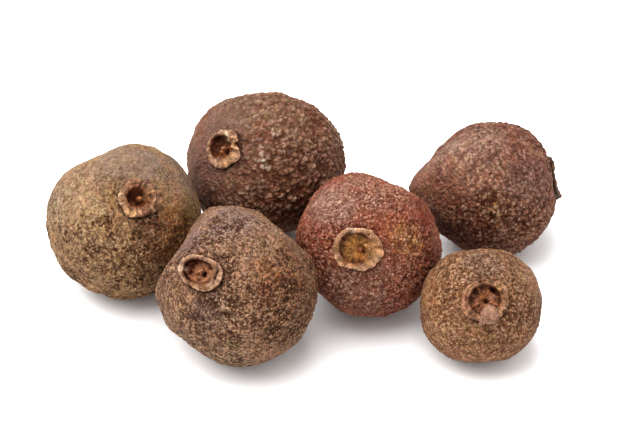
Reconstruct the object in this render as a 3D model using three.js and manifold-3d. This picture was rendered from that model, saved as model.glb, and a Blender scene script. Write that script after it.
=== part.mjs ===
// Six dried allspice berries lying loose and close together on a flat surface. Each berry is one
// solid: a globular body that has shrunk unevenly in drying, with the crown of its calyx, a low
// ragged ring round a sunken floor with the stub of the style, standing on the end away from the
// stem. Millimetres, +Z up, origin on the surface under the middle of the group, +X to the right
// along the group and +Y towards its back.
import * as THREE from "three";
import Module from "manifold-3d";
import { mergeVertices } from "three/addons/utils/BufferGeometryUtils.js";

// Driving dimensions of the six berries. centre is the middle of the body: its height is a little
// less than the body's radius, so that the berry stands on a small flat spot. width is measured
// across the berry and length from the stem end to the foot of the crown. crownFaces and every flat
// and bulge give a direction as [degrees from +X towards +Y, degrees above the surface].
// A flat trims the berry to a plane: [direction, share of the radius that is left].
// A bulge swells it: [direction, height in mm, spread in degrees].
// crown: across its outer edge, across its hollow, its height above the skin, the depth of the
// hollow, how much longer than round it is and in which direction, how far its four lobes reach out
// and how ragged its lip is. Directions round the crown are degrees from level, anticlockwise for
// someone who faces it. style: the stub in the hollow, its width and height.
// sepal: a scrap of the calyx left on the lip, its direction round the crown, its distance from the
// crown's axis, its height above the lip, and its size outwards, sideways and upwards.
const BERRIES = [
  {
    name: "berry_left",
    centre: [-8.6, 0.41, 3.6],
    width: 7.3,
    length: 7.1,
    crownFaces: [-68, 53],
    crown: {
      across: 2.05, hollow: 1.0, rise: 0.34, depth: 0.5,
      longer: 0.03, along: 0, lobes: 0.05, ragged: 0.04,
    },
    style: { width: 0.32, height: 0.28 },
    flats: [
      [[123, 47], 0.91],
      [[215, -20], 0.98],
      [[-43, 0], 0.985],
    ],
    bulges: [],
    colour: 0x8a7150,
  },
  {
    name: "berry_back",
    centre: [-1.95, 4.8, 3.65],
    width: 7.4,
    length: 7.2,
    crownFaces: [-135, 40],
    crown: {
      across: 2.1, hollow: 1.25, rise: 0.36, depth: 0.5,
      longer: 0.02, along: 0, lobes: 0.09, ragged: 0.07,
    },
    style: { width: 0.3, height: 0.3 },
    flats: [
      [[53, 46], 0.925],
      [[106, 51], 0.91],
      [[-66, -50], 0.93],
    ],
    bulges: [],
    colour: 0x6a4a3b,
  },
  {
    name: "berry_front",
    centre: [-3.23, -4.73, 3.7],
    width: 7.45,
    length: 7.3,
    crownFaces: [-128, 43],
    crown: {
      across: 2.08, hollow: 1.45, rise: 0.3, depth: 0.42,
      longer: 0.22, along: 4, lobes: 0.02, ragged: 0.03,
    },
    style: { width: 0.3, height: 0.15 },
    flats: [
      [[155, 28], 0.85],
      [[34, 36], 0.89],
      [[30, -5], 0.99],
      [[218, -38], 0.94],
    ],
    bulges: [],
    colour: 0x7d5f49,
  },
  {
    name: "berry_middle",
    centre: [2.91, -1.12, 3.4],
    width: 6.9,
    length: 6.9,
    crownFaces: [-100, 34],
    crown: {
      across: 2.15, hollow: 1.7, rise: 0.26, depth: 0.36,
      longer: 0.08, along: -10, lobes: 0.03, ragged: 0.03,
    },
    style: { width: 0.3, height: 0.12 },
    flats: [
      [[54, 46], 0.87],
      [[16, 20], 0.96],
      [[210, 0], 0.99],
      [[216, -37], 0.96],
    ],
    bulges: [],
    colour: 0x7c4a36,
  },
  {
    name: "berry_right_back",
    centre: [8.61, 3.44, 3.25],
    width: 6.66,
    length: 6.3,
    crownFaces: [8, 5],
    crown: {
      across: 1.95, hollow: 1.3, rise: 0.22, depth: 0.34,
      longer: 0, along: 0, lobes: 0.06, ragged: 0.06,
    },
    style: { width: 0.3, height: 0.2 },
    sepal: { clock: -128, out: 0.9, above: 0, size: [0.2, 0.45, 0.36] },
    flats: [
      [[147, 35], 0.855],
      [[82, 52], 0.95],
      [[225, -35], 0.97],
    ],
    bulges: [
      [[180, 2], 0.6, 18],
      [[-25, -25], 0.12, 30],
    ],
    colour: 0x6b4a3c,
  },
  {
    name: "berry_right_front",
    centre: [8.11, -4.92, 2.72],
    width: 5.68,
    length: 5.3,
    crownFaces: [-85, 44],
    crown: {
      across: 2.14, hollow: 1.3, rise: 0.34, depth: 0.42,
      longer: 0.04, along: 0, lobes: 0.02, ragged: 0.03,
    },
    style: { width: 0.24, height: 0.14 },
    sepal: { clock: -80, out: 0.7, above: 0.02, size: [0.8, 0.85, 0.55] },
    flats: [
      [[90, 52], 0.92],
      [[-90, -52], 0.92],
    ],
    bulges: [],
    colour: 0x85684a,
  },
];

const SEGMENTS = 36; // round each berry
const SKIN_ROWS = 20; // from the crown's foot to the stem end
const FULLNESS = 2.15; // exponent of the body's profile: 2 is an ellipse, more is fuller at the shoulders
const CORNER = 18; // how sharply two flats meet: more is sharper
const SHRINKAGE = 0.03; // depth of the broad unevenness, as a share of the radius
const WAVES = 9; // sine waves that make up the unevenness
const SLOWEST_WAVE = 4; // radians of the first wave across one radius
const LOBES = 4; // of the calyx
const TEAR_WAVES = [3, 5]; // whose product tears the lip: how many of each go round the crown
const CROWN_FOOT = 0.84; // width of the crown where it leaves the skin, as a share of its full width
const LIP_STEPS = 4; // facets over the rounded lip
const LIP_ROUND = 0.5; // height of the rounded lip, as a share of the crown's height
const OVAL_FADE_ROWS = 4; // rows of skin over which the crown's oval dies out
const STYLE_SHOULDER = { width: 0.72, height: 0.85 }; // shares of the stub's width and height
const SEPAL_STEPS = { round: 12, up: 8 };
const WELD = 1e-4; // distance within which vertices are one
const GOLDEN_ANGLE = Math.PI * (3 - Math.sqrt(5));
const GOLDEN_RATIO = (1 + Math.sqrt(5)) / 2;
const UP = new THREE.Vector3(0, 0, 1);

const wasm = await Module();
wasm.setup();

const radians = THREE.MathUtils.degToRad;

// Unit vector in a direction given as [degrees from +X towards +Y, degrees above the surface].
function towards([azimuth, elevation]) {
  const [a, e] = [radians(azimuth), radians(elevation)];
  return new THREE.Vector3(Math.cos(e) * Math.cos(a), Math.cos(e) * Math.sin(a), Math.sin(e));
}

// Turns +Z to where the crown faces, with +X kept level.
function turnTo(crownFaces) {
  const axis = towards(crownFaces);
  const level = new THREE.Vector3().crossVectors(UP, axis).normalize();
  const upward = new THREE.Vector3().crossVectors(axis, level);
  const basis = new THREE.Matrix4().makeBasis(level, upward, axis);
  return new THREE.Quaternion().setFromRotationMatrix(basis);
}

// Distance from the middle of the body to its skin at an angle from the crown's axis.
function skinRadius(angle, { width, length }) {
  const across = Math.abs(Math.sin(angle)) / (width / 2);
  const along = Math.abs(Math.cos(angle)) / (length / 2);
  return (across ** FULLNESS + along ** FULLNESS) ** (-1 / FULLNESS);
}

// Angle from the crown's axis at which the crown leaves the skin, and the height of its lip.
function crownPlace(berry) {
  const footRadius = (CROWN_FOOT * berry.crown.across) / 2;
  const footAngle = Math.asin(footRadius / (berry.length / 2));
  const lip = skinRadius(footAngle, berry) * Math.cos(footAngle) + berry.crown.rise;
  return { footAngle, lip };
}

// Half profile of a berry, from the stem end up the skin, over the crown's rounded lip and down to
// its floor, to the tip of the style. Each row has its radius and height, and how strongly the
// crown's oval and its lobes act on it.
function profile(berry) {
  const { across, hollow, rise, depth } = berry.crown;
  const { width: stub, height: stubHeight } = berry.style;
  const { footAngle, lip } = crownPlace(berry);
  const floor = lip - depth;
  const row = (radius, height, oval, lobe) => ({ radius, height, oval, lobe });
  const rows = [];
  for (let k = SKIN_ROWS; k >= 0; k--) {
    const angle = footAngle + (Math.PI - footAngle) * (k / SKIN_ROWS);
    const radius = skinRadius(angle, berry);
    const offAxis = k === SKIN_ROWS ? 0 : radius * Math.sin(angle);
    rows.push(row(offAxis, radius * Math.cos(angle), Math.max(0, 1 - k / OVAL_FADE_ROWS), 0));
  }
  const lipMiddle = (across + hollow) / 4;
  const lipHalf = (across - hollow) / 4;
  for (let k = 0; k <= LIP_STEPS; k++) {
    const angle = (Math.PI * k) / LIP_STEPS;
    const height = lip - LIP_ROUND * rise * (1 - Math.sin(angle));
    rows.push(row(lipMiddle + lipHalf * Math.cos(angle), height, 1, 1 - k / LIP_STEPS / 2));
  }
  rows.push(row((CROWN_FOOT * hollow) / 2, floor, 1, 0));
  rows.push(row(stub / 2, floor, 0, 0));
  rows.push(row((STYLE_SHOULDER.width * stub) / 2, floor + STYLE_SHOULDER.height * stubHeight, 0, 0));
  rows.push(row(0, floor + stubHeight, 0, 0));
  return rows;
}

// Broad unevenness of the dried body, from -1 to 1: sine waves whose directions are spread evenly
// over the sphere by the golden angle, and whose phases differ from berry to berry.
function unevenness(direction, seed) {
  let sum = 0;
  for (let k = 0; k < WAVES; k++) {
    const lift = 1 - (2 * k + 1) / WAVES;
    const reach = Math.sqrt(1 - lift * lift);
    const turn = GOLDEN_ANGLE * (k + seed);
    const way = new THREE.Vector3(reach * Math.cos(turn), reach * Math.sin(turn), lift);
    const phase = 2 * Math.PI * GOLDEN_RATIO * (k + 1) * (seed + 1);
    sum += Math.sin((SLOWEST_WAVE + k) * direction.dot(way) + phase);
  }
  return sum / WAVES;
}

// How far a point of the round body moves out or in, as a factor on its distance from the middle.
function dried(direction, berry, seed) {
  let trim = 1;
  for (const [where, share] of berry.flats) {
    trim += (Math.max(0, direction.dot(towards(where))) / share) ** CORNER;
  }
  let factor = trim ** (-1 / CORNER) * (1 + SHRINKAGE * unevenness(direction, seed));
  for (const [where, height, spread] of berry.bulges) {
    const away = direction.angleTo(towards(where)) / radians(spread);
    factor += (height / (berry.width / 2)) * Math.exp(-away * away);
  }
  return factor;
}

// Scrap of the calyx on the lip, in the berry's own frame: a flattened ball.
function makeSepal(berry) {
  const { clock, out, above, size } = berry.sepal;
  const { lip } = crownPlace(berry);
  const geometry = new THREE.SphereGeometry(0.5, SEPAL_STEPS.round, SEPAL_STEPS.up).scale(...size);
  return geometry.translate(out, 0, lip + above).rotateZ(radians(clock));
}

// Moves every point of a shape in the berry's own frame as drying moves the skin below it, and
// flattens the underside where the berry lies on the surface.
function dryOut(geometry, berry, seed) {
  const turned = turnTo(berry.crownFaces);
  const down = UP.clone().negate().applyQuaternion(turned.clone().invert());
  const position = geometry.getAttribute("position");
  const point = new THREE.Vector3();
  for (let i = 0; i < position.count; i++) {
    point.fromBufferAttribute(position, i);
    const direction = point.clone().normalize().applyQuaternion(turned);
    point.multiplyScalar(dried(direction, berry, seed));
    const below = point.dot(down) - berry.centre[2];
    if (below > 0) point.addScaledVector(down, -below);
    position.setXYZ(i, point.x, point.y, point.z);
  }
}

// Two closed shapes joined into one closed shape.
function fuse(...shapes) {
  const solids = shapes.map((shape) => {
    shape.deleteAttribute("normal");
    shape.deleteAttribute("uv");
    const welded = mergeVertices(shape, WELD);
    const corners = welded.index.array;
    const triVerts = [];
    for (let i = 0; i < corners.length; i += 3) {
      const [a, b, c] = corners.slice(i, i + 3);
      if (a !== b && b !== c && c !== a) triVerts.push(a, b, c);
    }
    const vertProperties = welded.getAttribute("position").array;
    const mesh = new wasm.Mesh({ numProp: 3, vertProperties, triVerts: new Uint32Array(triVerts) });
    return new wasm.Manifold(mesh);
  });
  const { vertProperties, triVerts } = solids[0].add(solids[1]).getMesh();
  const fused = new THREE.BufferGeometry();
  fused.setAttribute("position", new THREE.BufferAttribute(vertProperties, 3));
  fused.setIndex(new THREE.BufferAttribute(triVerts, 1));
  return fused;
}

// One berry: its profile turned round its axis, the crown made oval, lobed and ragged, and the body
// dried out of round.
function makeBerry(berry, seed) {
  const rows = profile(berry);
  const outline = rows.map(({ radius, height }) => new THREE.Vector2(radius, height));
  let geometry = new THREE.LatheGeometry(outline, SEGMENTS).rotateX(Math.PI / 2);
  const position = geometry.getAttribute("position");
  const { longer, along, lobes, ragged } = berry.crown;
  for (let i = 0; i < position.count; i++) {
    const { oval, lobe } = rows[i % rows.length];
    const clock = Math.atan2(position.getY(i), position.getX(i));
    const stretch = 1 + oval * longer * Math.cos(2 * (clock - radians(along)));
    const reach = 1 + lobe * lobes * Math.cos(LOBES * clock + seed);
    const [slow, quick] = TEAR_WAVES.map((waves) => waves * clock + seed);
    const tear = lobe * ragged * Math.sin(slow + seed) * Math.cos(quick);
    const grow = stretch * reach;
    position.setXYZ(i, position.getX(i) * grow, position.getY(i) * grow, position.getZ(i) + tear);
  }
  dryOut(geometry, berry, seed);
  if (berry.sepal) {
    const sepal = makeSepal(berry);
    dryOut(sepal, berry, seed);
    geometry = fuse(geometry, sepal);
  }
  geometry.computeVertexNormals();
  const material = new THREE.MeshStandardMaterial({ color: berry.colour, roughness: 0.8, metalness: 0 });
  const mesh = new THREE.Mesh(geometry, material);
  mesh.name = berry.name;
  mesh.position.set(...berry.centre);
  mesh.quaternion.copy(turnTo(berry.crownFaces));
  return mesh;
}

const group = new THREE.Group();
group.name = "allspice_berries";
BERRIES.forEach((berry, index) => group.add(makeBerry(berry, index)));

export default group;
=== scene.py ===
"""Six dried allspice berries lying loose on a pale surface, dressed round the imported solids.

Each berry is a skin covered with raised oil glands and, on the end away from the stem, the dried
crown of its calyx. Sizes are millimetres in the tables and metres in the meshes.
"""
import math

import bpy
import numpy as np
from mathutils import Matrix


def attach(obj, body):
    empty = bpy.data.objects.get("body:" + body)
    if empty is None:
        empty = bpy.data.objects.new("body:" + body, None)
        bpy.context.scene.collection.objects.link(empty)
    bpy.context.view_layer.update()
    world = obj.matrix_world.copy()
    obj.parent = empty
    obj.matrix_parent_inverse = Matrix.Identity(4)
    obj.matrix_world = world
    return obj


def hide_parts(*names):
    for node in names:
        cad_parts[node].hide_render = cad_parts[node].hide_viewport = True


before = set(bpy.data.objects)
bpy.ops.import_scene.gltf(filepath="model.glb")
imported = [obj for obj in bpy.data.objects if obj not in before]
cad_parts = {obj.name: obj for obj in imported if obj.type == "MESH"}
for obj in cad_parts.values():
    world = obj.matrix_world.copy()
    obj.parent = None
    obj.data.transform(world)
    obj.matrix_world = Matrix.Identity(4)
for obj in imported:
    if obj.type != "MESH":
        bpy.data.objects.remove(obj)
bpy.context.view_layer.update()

# ---------------------------------------------------------------------------------------------
# The bodies. A ripe berry is a globe with a leathery skin. In drying it shrinks unevenly, so it
# ends with flattened cheeks and blunt corners, and lies on a small flat spot. Each has its own
# place, size and turn, the same as its solid's.
# ---------------------------------------------------------------------------------------------
MM = 0.001
# Directions are (degrees from +X towards +Y, degrees upwards). centre, width and length in mm.
# crown: its width in mm, by what share it is longer than wide, and the clock angle of its long
# way. flats: direction and share of the radius left. bulges: direction, height in mm, spread.
BODIES = {
    "berry_left": {
        "centre": (-8.6, 0.41, 3.6), "width": 7.3, "length": 7.1,
        "crown_faces": (-68, 53), "crown": (1.9, 0.03, 0),
        "flats": [((123, 47), 0.91), ((215, -20), 0.98), ((-43, 0), 0.985)], "bulges": [],
    },
    "berry_back": {
        "centre": (-1.95, 4.8, 3.65), "width": 7.4, "length": 7.2,
        "crown_faces": (-135, 40), "crown": (1.82, 0.03, 90),
        "flats": [((53, 46), 0.925), ((106, 51), 0.91), ((-66, -50), 0.93)], "bulges": [],
    },
    "berry_front": {
        "centre": (-3.23, -4.73, 3.7), "width": 7.45, "length": 7.3,
        "crown_faces": (-128, 43), "crown": (1.94, 0.19, 8),
        "flats": [((155, 28), 0.85), ((34, 36), 0.89), ((30, -5), 0.99), ((218, -38), 0.94)],
        "bulges": [],
    },
    "berry_middle": {
        "centre": (2.91, -1.12, 3.4), "width": 6.9, "length": 6.9,
        "crown_faces": (-100, 34), "crown": (2.1, 0.06, -10),
        "flats": [((54, 46), 0.87), ((16, 20), 0.96), ((210, 0), 0.99), ((216, -37), 0.96)],
        "bulges": [],
    },
    "berry_right_back": {
        "centre": (8.61, 3.44, 3.25), "width": 6.66, "length": 6.3,
        "crown_faces": (8, 5), "crown": (1.9, 0.0, 0),
        "flats": [((147, 35), 0.855), ((82, 52), 0.95), ((225, -35), 0.97)],
        "bulges": [((180, 2), 0.6, 18), ((-25, -25), 0.12, 30)],
    },
    "berry_right_front": {
        "centre": (8.11, -4.92, 2.72), "width": 5.68, "length": 5.3,
        "crown_faces": (-85, 44), "crown": (2.06, 0.04, 20),
        "flats": [((90, 52), 0.92), ((-90, -52), 0.92)], "bulges": [],
    },
}
# Powers of the skin's superellipse and of the soft minimum, then the share, the number and the
# slowest of the waves of unevenness.
FULLNESS = 2.15
CORNER = 18
SHRINKAGE = 0.03
WAVES = 9
SLOWEST_WAVE = 4
GOLDEN_ANGLE = math.pi * (3 - math.sqrt(5))
GOLDEN_RATIO = (1 + math.sqrt(5)) / 2


def towards(azimuth, elevation):
    """Unit vector: cos(elevation) times (cos, sin) of the azimuth, and sin(elevation) upwards."""
    a, e = math.radians(azimuth), math.radians(elevation)
    return np.array([math.cos(e) * math.cos(a), math.cos(e) * math.sin(a), math.sin(e)])


def turned(crown_faces):
    """Rows of a matrix that turns +Z to where the crown faces and keeps +X level."""
    axis = towards(*crown_faces)
    level = np.cross([0, 0, 1], axis)
    level /= np.linalg.norm(level)
    return np.array([level, np.cross(axis, level), axis])


def skin_radius(angle, body):
    """Superellipse: (|sin| / half width)^n + (|cos| / half length)^n, to the power -1/n."""
    across = np.abs(np.sin(angle)) / (body["width"] / 2)
    along = np.abs(np.cos(angle)) / (body["length"] / 2)
    return (across**FULLNESS + along**FULLNESS) ** (-1 / FULLNESS)


def unevenness(directions, seed):
    """Mean of sine waves whose directions spread over the sphere by the golden angle."""
    total = 0
    for k in range(WAVES):
        lift = 1 - (2 * k + 1) / WAVES
        reach = math.sqrt(1 - lift * lift)
        turn = GOLDEN_ANGLE * (k + seed)
        way = np.array([reach * math.cos(turn), reach * math.sin(turn), lift])
        phase = 2 * math.pi * GOLDEN_RATIO * (k + 1) * (seed + 1)
        total = total + np.sin((SLOWEST_WAVE + k) * directions @ way + phase)
    return total / WAVES


def dried(directions, body, seed):
    """Factor on the distance from the middle: a soft minimum of 1 and of the distances to the
    trimming planes, times 1 plus the unevenness, plus a bell curve for each bulge."""
    trim = 1
    for where, share in body["flats"]:
        trim = trim + (np.maximum(directions @ towards(*where), 0) / share) ** CORNER
    factor = trim ** (-1 / CORNER) * (1 + SHRINKAGE * unevenness(directions, seed))
    for where, height, spread in body["bulges"]:
        away = np.arccos(np.clip(directions @ towards(*where), -1, 1)) / math.radians(spread)
        factor = factor + height / (body["width"] / 2) * np.exp(-away * away)
    return factor


def settle(local, body, seed, relief=0.0):
    """Points in the berry's own frame, dried, raised outwards by the relief in mm, turned, put
    in place, and pressed flat where they would go through the surface below. In metres."""
    away = np.linalg.norm(local, axis=1, keepdims=True)
    directions = local / np.maximum(away, 1e-9) @ turned(body["crown_faces"])
    moved = directions * (away * dried(directions, body, seed)[:, None])
    moved = moved + directions * np.broadcast_to(relief, len(local))[:, None]
    placed = moved + np.array(body["centre"])
    placed[:, 2] = np.maximum(placed[:, 2], 0)
    return placed * MM


# ---------------------------------------------------------------------------------------------
# The skins: thin dried husk, crumpled into short ridges with creases and pinholes between
# them, and set all over with oil glands as fine as sand. The creases and pinholes are painted dark
# with painted shade, and the tops of the ridges are painted pale with painted highlights.
# It has the broad dents of drying too, and a small round scar where the stem broke off.
# ---------------------------------------------------------------------------------------------
ROUND, ROWS = 430, 214
# grain: pitch of the glands in mm. crumple: pitch and height of the ridges in mm. swollen: share
# of round bumps in them. lumps: height of the broader unevenness in mm. pinholes: how much of the
# skin has them. gaps, pales: shares of the glands that are dark or pale. sand: how much the
# glands differ. Then the colours: dark, the painted shade in creases, gaps and pinholes; grey
# glands; body; its lighter parts; tip, for pale glands and the painted highlights on ridge tops.
# Each list changes the skin round a direction, given with its spread in degrees: stains and
# painted shade (colour, strength), painted highlights on the ridges' tops (colour, strength),
# rough and pitted (how much more or less), dents (mm upwards).
SKINS = {
    "berry_left": {
        "slot": "olive_brown_skin", "grain": 0.11, "crumple": (0.32, 0.07), "swollen": 0.4,
        "lumps": 0.05, "pinholes": 0.85, "gaps": 0.13, "pales": 0.26, "sand": 0.8,
        "dark": 0x371C0C, "grey": 0x665145, "body": 0x856648, "light": 0x9B7B5B, "tip": 0xB29877,
        "stains": [((-10, 84), 34, 0x77665B, 0.7), ((-44, 21), 26, 0x8C5C33, 0.65),
                   ((6, 43), 24, 0x6A5C5A, 0.6), ((-19, 24), 9, 0x75683A, 0.5),
                   ((-114, 4), 22, 0x775D46, 0.5), ((-150, 40), 30, 0x8E765E, 0.6),
                   ((-66, 30), 14, 0x5B433D, 0.5), ((-90, 58), 14, 0x7E5A34, 0.6),
                   ((-118, 36), 12, 0x8A6A42, 0.5), ((-168, 24), 18, 0x8F7E69, 0.5)],
        "painted_highlights": [((-120, 42), 14, 0xA08C6E, 0.5), ((-98, 26), 12, 0x9C8260, 0.5)],
        "rough": [((-10, 80), 40, -0.65), ((6, 43), 30, -0.5), ((-95, -25), 30, 0.15),
                  ((-148, 28), 24, -0.25)],
        "pitted": [((-120, 42), 20, 0.95), ((-94, 54), 14, 0.7), ((-66, 26), 18, 1.0),
                   ((-40, 48), 12, 0.7), ((-95, 0), 40, 0.4), ((10, 60), 50, -1.2),
                   ((-150, 70), 40, -0.7), ((-95, -32), 22, 0.4)],
        "dents": [((-92, -34), 8, -0.12), ((-108, -38), 7, -0.1), ((-75, -30), 8, -0.1),
                  ((-125, -25), 9, -0.08), ((-112, -12), 9, -0.06), ((-152, -30), 16, 0.13)],
    },
    "berry_back": {
        "slot": "purple_brown_skin", "grain": 0.15, "crumple": (0.36, 0.115), "swollen": 0.7,
        "lumps": 0.045, "pinholes": 0.0, "gaps": 0.08, "pales": 0.1, "sand": 0.4,
        "dark": 0x3E1C0C, "grey": 0x664F46, "body": 0x754D39, "light": 0x8A6750, "tip": 0xA8957F,
        "stains": [((-160, 60), 30, 0x6F594C, 0.8), ((-148, 25), 34, 0x694D43, 0.8),
                   ((-54, 84), 26, 0x7C624F, 0.6), ((-54, 42), 22, 0x7B5F4F, 0.6),
                   ((-31, 15), 26, 0x93705C, 0.7), ((-108, 16), 18, 0x80634F, 0.6),
                   # The near-black stain low on the left is painted shade where the berry sits against
                   # its neighbours.
                   ((-118, -34), 24, 0x20120C, 0.7), ((-112, -6), 18, 0x7A5848, 0.5),
                   ((-68, -6), 18, 0x552A1C, 0.6), ((8, 22), 20, 0x8E705D, 0.5)],
        "painted_highlights": [((-100, 46), 12, 0x9E958A, 0.7), ((-82, 50), 11, 0x9C9286, 0.7),
                  ((-88, 34), 10, 0xA0968A, 0.7), ((-70, 70), 30, 0x94735C, 0.5),
                  ((-60, 30), 26, 0x8C6A54, 0.5), ((-110, 5), 24, 0x8E6E58, 0.7)],
        "rough": [((-148, 25), 42, -0.75), ((-140, 60), 26, -0.4), ((-70, 30), 40, 0.35),
                  ((-60, 75), 40, 0.3), ((-110, -5), 36, 0.4)],
        "pitted": [],
        "dents": [((93, 52), 12, -0.09)],
    },
    "berry_front": {
        "slot": "grey_brown_skin", "grain": 0.098, "crumple": (0.26, 0.065), "swollen": 0.5,
        "lumps": 0.045, "pinholes": 0.9, "gaps": 0.28, "pales": 0.14, "sand": 1.0,
        "dark": 0x30180B, "grey": 0x6B5850, "body": 0x8D6B53, "light": 0xA08065, "tip": 0xA2896E,
        "stains": [((179, 55), 24, 0x7C6562, 0.7), ((103, 85), 20, 0x7E6864, 0.6),
                   ((-41, 25), 28, 0x7E4F36, 0.65), ((-30, 40), 20, 0x82583C, 0.4),
                   ((-5, 12), 22, 0x6E4028, 0.5), ((-95, -32), 20, 0x967B62, 0.6),
                   ((-65, 35), 4, 0x8E4A3A, 0.4), ((-94, -7), 7, 0x857243, 0.6),
                   ((-117, 2), 26, 0x846853, 0.5), ((-110, 20), 14, 0x695651, 0.5),
                   ((-58, 47), 8, 0x9C6A41, 0.6), ((-52, 38), 6, 0x935E39, 0.6)],
        "painted_highlights": [],
        "rough": [((120, 75), 36, -0.35), ((-105, -5), 50, 0.3)],
        "pitted": [((-150, 20), 30, 0.3), ((-62, 42), 10, 0.4), ((-105, 0), 50, 0.4)],
        "dents": [((131, 44), 13, 0.26), ((-58, 47), 7, 0.07), ((-52, 38), 6, 0.08)],
    },
    "berry_middle": {
        "slot": "red_brown_skin", "grain": 0.1, "crumple": (0.25, 0.075), "swollen": 0.6, "lumps": 0.05,
        "pinholes": 0.12, "gaps": 0.24, "pales": 0.19, "sand": 0.8,
        "dark": 0x42140A, "grey": 0x735046, "body": 0x864D38, "light": 0x9C6852, "tip": 0xC49E88,
        "stains": [((-110, 84), 26, 0x957765, 0.6), ((-165, 55), 26, 0x987E70, 0.7),
                   ((-51, 36), 15, 0x9C713C, 0.6), ((-6, 39), 20, 0x863C2B, 0.6),
                   ((-97, -1), 34, 0x6C5244, 0.8), ((-151, 24), 22, 0x7C4731, 0.5),
                   ((3, 65), 18, 0x90634C, 0.5), ((80, 15), 48, 0x7E5340, 0.6)],
        "painted_highlights": [((-160, 66), 10, 0xA68E82, 0.5), ((-156, 50), 8, 0xA08A80, 0.5),
                  ((-97, 0), 24, 0x957E6B, 0.5)],
        "rough": [((-97, -1), 30, 0.25)],
        "pitted": [((-40, 20), 30, 0.3)],
        "dents": [((50, 44), 12, -0.12)],
    },
    "berry_right_back": {
        "slot": "dark_red_brown_skin", "grain": 0.14, "crumple": (0.32, 0.095), "swollen": 0.6,
        "lumps": 0.05, "pinholes": 0.0, "gaps": 0.16, "pales": 0.18, "sand": 0.9,
        "dark": 0x36160B, "grey": 0x5F4842, "body": 0x744B3A, "light": 0x8D6751, "tip": 0xAE927C,
        "stains": [((-168, 6), 26, 0x855B46, 0.7), ((-126, 80), 24, 0x927567, 0.6),
                   ((-121, 57), 22, 0x92705F, 0.6), ((-172, 50), 20, 0x8E7365, 0.6),
                   ((-88, 20), 10, 0x8A653A, 0.6), ((-46, 35), 24, 0x6C4F4A, 0.6),
                   # The dark stain low on the left is painted shade where this berry meets the middle
                   # berry.
                   ((-106, -7), 30, 0x5C3122, 0.8)],
        "painted_highlights": [((-135, 62), 26, 0xA08676, 0.3), ((-88, 18), 12, 0xA5805A, 0.6),
                  ((-60, 20), 26, 0x8E6E60, 0.3)],
        "rough": [((-168, 6), 30, -0.5), ((-88, 15), 30, 0.2), ((-125, 78), 34, -0.45)],
        "pitted": [],
        "dents": [((153, 30), 14, 0.14), ((109, 52), 12, -0.14), ((172, 10), 9, -0.12)],
    },
    "berry_right_front": {
        "slot": "tan_brown_skin", "grain": 0.098, "crumple": (0.22, 0.045), "swollen": 0.5,
        "lumps": 0.04, "pinholes": 0.15, "gaps": 0.34, "pales": 0.26, "sand": 0.95,
        "dark": 0x3E200E, "grey": 0x6D584D, "body": 0x866046, "light": 0x9B785A, "tip": 0xB39375,
        "stains": [((-110, 84), 22, 0x715D51, 0.7), ((-158, 24), 22, 0x8A633C, 0.5),
                   ((-92, 5), 22, 0x7A5A3B, 0.4), ((-28, 28), 18, 0x785845, 0.4)],
        "painted_highlights": [((-130, 20), 16, 0xA68A68, 0.4)],
        "rough": [], "pitted": [], "dents": [],
    },
}
# The crown's foot is this share of its width. Under it the skin dips by SEAT mm, with a groove of
# COLLAR mm round it. The scar of the stem is a round dent with a low rim, in mm.
CROWN_FOOT = 0.84
SEAT, COLLAR = 0.62, 0.1
SCAR = {"width": 0.8, "depth": 0.14, "rim": 0.06}
# Sizes in mm of the husk's patterns: how the rows of glands wander, how far, the fine grit, the
# small shifts of hue and the cloudy shades.
WANDER, WANDER_BY, GRIT, HUE_PATCH, SHADE_PATCH = 0.13, 0.14, 0.06, 0.4, 0.3
EASED = {"interpolation_type": "SMOOTHSTEP"}
TIMES = {"operation": "MULTIPLY"}
OVER = {"data_type": "RGBA", "blend_type": "MIX"}
TINT = {"data_type": "RGBA", "blend_type": "MULTIPLY"}
SOFT = {"data_type": "RGBA", "blend_type": "SOFT_LIGHT"}


def chance(cubes, lane):
    """A number from 0 to 1 for each lattice cube: its counts times large odd numbers, stirred
    by shifts and products of 32-bit whole numbers. Each lane gives a pattern of its own."""
    h = cubes.astype(np.int64).astype(np.uint32)
    h = (h[:, 0] * np.uint32(0x9E3779B1) ^ h[:, 1] * np.uint32(0x85EBCA77)
         ^ h[:, 2] * np.uint32(0xC2B2AE3D))
    h = h ^ np.uint32(lane * 0x27D4EB2F & 0xFFFFFFFF)
    for shift, product in ((15, 0x2C1B3C6D), (12, 0x297A2D39), (15, 0x165667B1)):
        h = (h ^ (h >> np.uint32(shift))) * np.uint32(product)
    return (h ^ (h >> np.uint32(16))) / 2.0**32


def clouds(points, size, lane):
    """Smooth noise from -1 to 1: random numbers at the corners of a lattice of that size in mm,
    blended with the ease 6t^5 - 15t^4 + 10t^3."""
    scaled = points / size
    base = np.floor(scaled)
    t = scaled - base
    ease = t * t * t * (t * (6 * t - 15) + 10)
    total = 0
    for corner in np.ndindex(2, 2, 2):
        weight = np.prod(np.where(np.array(corner) == 1, ease, 1 - ease), axis=1)
        total = total + weight * chance(base + corner, lane)
    return 2 * total - 1


def ridges(points, size, lane):
    """Crumpled noise from 0 to 1: 1 less the size of the clouds, bent by finer clouds, so that
    it makes narrow winding ridges, with half as much of the same at half the size."""
    bent = points + 0.3 * size * np.stack([clouds(points, size, lane + k) for k in (1, 2, 3)], 1)
    coarse = 1 - np.abs(clouds(bent, size, lane)) * 1.9
    fine = 1 - np.abs(clouds(bent, 0.5 * size, lane + 4)) * 1.9
    return np.clip((coarse + 0.5 * fine) / 1.5, 0, 1)


def smooth_step(value, low, high):
    """0 below low, 1 above high and the ease 3t^2 - 2t^3 between them."""
    t = np.clip((value - low) / (high - low), 0, 1)
    return t * t * (3 - 2 * t)


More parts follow.
